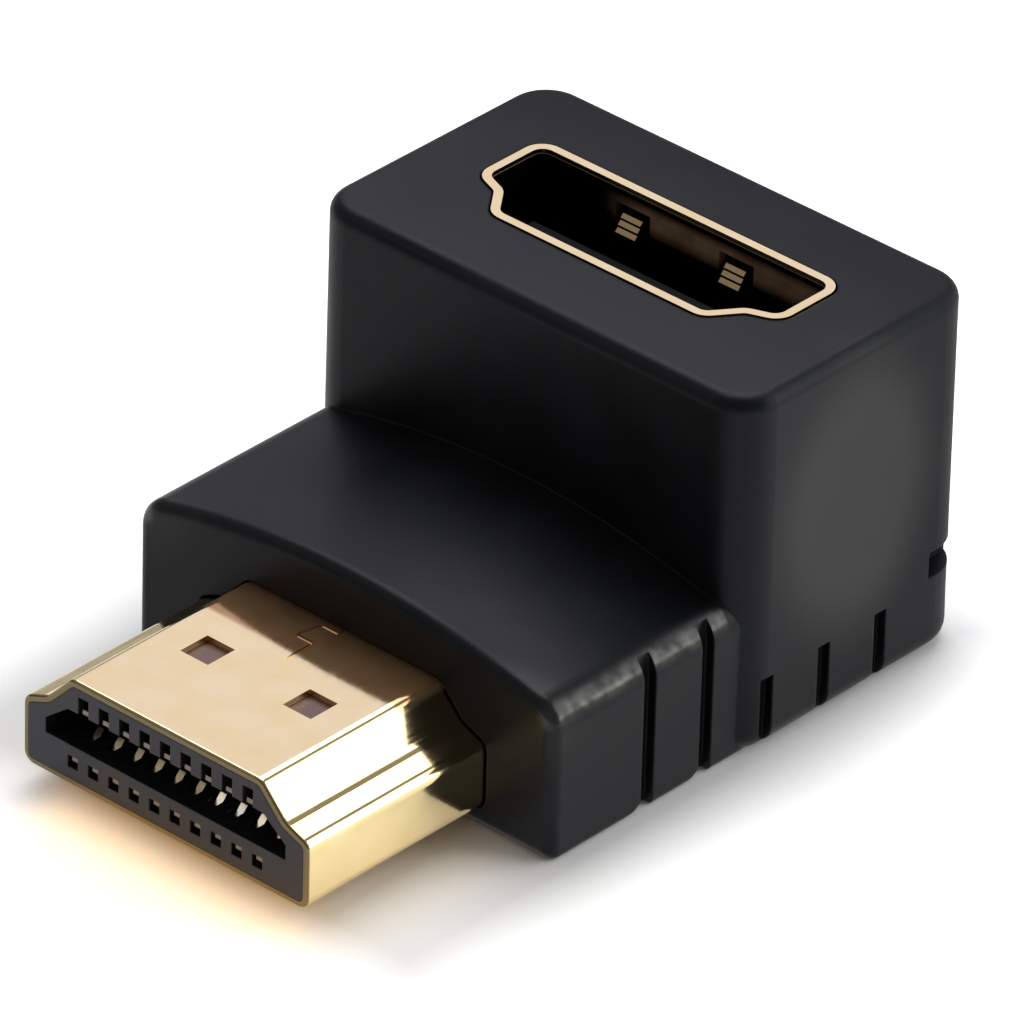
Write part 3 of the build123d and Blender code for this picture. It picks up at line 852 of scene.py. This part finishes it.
@dataclass
class Plug(Connector):
    """The plug at the end of the arm."""

    prefix: str = "plug"
    shell: Finish = field(default_factory=lambda: GoldPlate("gold_plate_plug"))
    moulding: Finish = field(default_factory=lambda: GlassFilledMoulding("glass_filled_black_plug"))


@dataclass
class Receptacle(Connector):
    """The socket in the top of the block, with its sprung fingers and its tongue."""

    prefix: str = "receptacle"
    shell: Finish = field(default_factory=lambda: SocketGoldPlate("gold_plate_socket"))
    # Near black painted shade and little sheen for the socket's tongue, down in the socket.
    moulding: Finish = field(
        default_factory=lambda: GlassFilledMoulding("glass_filled_black_socket", painted_deep_colour="#050506", gloss=0.04)
    )


@dataclass
class Board:
    """The circuit board between the two connectors."""

    mask: Finish = field(default_factory=lambda: SolderMask("green_solder_mask"))

    def build(self) -> None:
        """Dresses the board."""
        dress("circuit_board", self.mask.make())


def area_lamp(name: str, size_mm: Span, watts: float, tint: str) -> bpy.types.Object:
    """Makes a rectangular lamp at the origin that faces down.

    Args:
        name: The lamp's name.
        size_mm: Its width and height.
        watts: Its power.
        tint: Hex colour of its light.

    Returns:
        The lamp.
    """
    data = bpy.data.lights.new(name, "AREA")
    data.shape = "RECTANGLE"
    data.size, data.size_y = (side * MM for side in size_mm)
    data.energy = watts
    data.color = linear(tint)[:3]
    lamp = bpy.data.objects.new(name, data)
    bpy.context.scene.collection.objects.link(lamp)
    log.info("lamp %s", name)
    return lamp


@dataclass
class Softbox:
    """One rectangular studio lamp aimed at the object."""

    name: str
    azimuth: float
    elevation: float
    distance_mm: float
    size_mm: Span
    watts: float
    tint: str = "#ffffff"

    def build(self, target: Vector) -> None:
        """Makes the lamp and turns it to the target.

        Args:
            target: The point that it faces, in metres.
        """
        lamp = area_lamp(self.name, self.size_mm, self.watts, self.tint)
        back = direction(self.azimuth, self.elevation)
        lamp.location = target + back * self.distance_mm * MM
        lamp.rotation_euler = back.to_track_quat("Z", "Y").to_euler()


@dataclass
class GiltBounce:
    """A warm strip close over the floor: the light that the gilt shell throws down there."""

    name: str
    centre_mm: Place
    size_mm: Span
    watts: float
    tint: str = "#ffc462"

    def build(self) -> None:
        """Makes the strip, which faces down and is seen by neither the camera nor a mirror."""
        strip = area_lamp(self.name, self.size_mm, self.watts, self.tint)
        strip.location = Vector(self.centre_mm) * MM
        strip.visible_camera = False
        strip.visible_glossy = False


@dataclass
class Studio:
    """The white floor, the dim sky and the lamps."""

    floor_mm: float = 1600.0
    sky: str = "#ffffff"
    sky_on_paper: float = 0.21
    sky_in_gloss: float = 0.3
    sky_on_camera: float = 1.0
    paper: Finish = field(default_factory=lambda: WhiteSweep("white_paper"))
    bounces: tuple[GiltBounce, ...] = (
        GiltBounce("bounce_at_tip", (1.1, -16.6, 1.1), (12.8, 1.9), 0.8e-4),
        GiltBounce("bounce_at_side", (8.0, -11.4, 1.6), (1.6, 8.0), 0.8e-5),
    )
    lamps: tuple[Softbox, ...] = (
        Softbox("overhead", 218, 64, 300, (240, 240), 0.56),
        Softbox("back_left", 222, 34, 320, (260, 200), 0.13, "#e1ddff"),
        Softbox("back_right", 139, 26, 300, (220, 240), 0.45),
        Softbox("side_right", 120, 8, 260, (120, 60), 0.07, "#f6fae6"),
        Softbox("front_left", 315, 36, 300, (120, 100), 0.023),
    )

    def build(self) -> None:
        """Makes the floor, the sky and every lamp."""
        self.build_floor()
        self.build_sky()
        middle = Vector((0, 0, (CAD_BOX[0].z + CAD_BOX[1].z) / 2))
        for lamp in self.lamps:
            lamp.build(middle)
        for bounce in self.bounces:
            bounce.build()

    def build_floor(self) -> None:
        """Lays the floor under the object's lowest point."""
        mesh = bpy.data.meshes.new("floor")
        shape = bmesh.new()
        bmesh.ops.create_grid(shape, x_segments=1, y_segments=1, size=self.floor_mm * MM / 2)
        shape.to_mesh(mesh)
        shape.free()
        floor = bpy.data.objects.new("floor", mesh)
        bpy.context.scene.collection.objects.link(floor)
        floor.location.z = CAD_BOX[0].z
        mesh.materials.append(self.paper.make())
        log.info("floor laid")

    def build_sky(self) -> None:
        """Fills the world with dim, even light, a little brighter in mirror and glass, and white to the camera."""
        world = bpy.data.worlds.new("studio_sky")
        bpy.context.scene.world = world
        world.use_nodes = True
        tree = world.node_tree
        tree.nodes.clear()
        rays = add_node(tree, "ShaderNodeLightPath", {}).outputs
        lit = rescale(tree, mirror_or_glass(tree, rays), 0.0, 1.0, self.sky_on_paper, self.sky_in_gloss)
        strength = rescale(tree, rays["Is Camera Ray"], 0.0, 1.0, lit, self.sky_on_camera)
        light = add_node(tree, "ShaderNodeBackground", {"Color": linear(self.sky), "Strength": strength})
        add_node(tree, "ShaderNodeOutputWorld", {"Surface": light.outputs["Background"]})
        log.info("sky made")


@dataclass
class LongLens:
    """The camera: a long lens from above the plug's right, as the photograph was taken."""

    azimuth: float = 41.567
    elevation: float = 32.027
    roll: float = 1.664
    distance_mm: float = 427.72
    aside_mm: float = 1.890
    above_mm: float = -0.366
    focal_px: float = 11962.0
    frame_px: float = 1024.0
    sensor_mm: float = 36.0
    aim_mm: Place = (0.0, -0.389, 8.0)

    def build(self) -> None:
        """Makes the camera and gives it to the scene."""
        back = direction(self.azimuth, self.elevation)
        level = Vector((math.cos(math.radians(self.azimuth)), math.sin(math.radians(self.azimuth)), 0))
        upright = level.cross(-back)
        turn = math.radians(self.roll)
        right = level * math.cos(turn) + upright * math.sin(turn)
        up = upright * math.cos(turn) - level * math.sin(turn)
        data = bpy.data.cameras.new("camera")
        data.sensor_width = self.sensor_mm
        data.lens = self.focal_px * self.sensor_mm / self.frame_px
        camera = bpy.data.objects.new("camera", data)
        bpy.context.scene.collection.objects.link(camera)
        spot_mm = Vector(self.aim_mm) + back * self.distance_mm + right * self.aside_mm + up * self.above_mm
        turned = Matrix((right, up, back)).transposed().to_4x4()
        camera.matrix_world = Matrix.Translation(spot_mm * MM) @ turned
        bpy.context.scene.camera = camera
        log.info("camera with a %.0f mm lens", data.lens)


def main() -> None:
    """Builds the camera, the pieces and the studio in order."""
    logging.basicConfig(level=logging.INFO, format="%(name)s: %(message)s")
    bpy.context.scene.view_settings.view_transform = "Standard"
    LongLens().build()
    strip = GoldFlash("gold_flashed_bronze").make()
    Housing().build()
    Plug().build(strip)
    Receptacle().build(strip)
    Board().build()
    Studio().build()


if __name__ == "__main__":
    main()
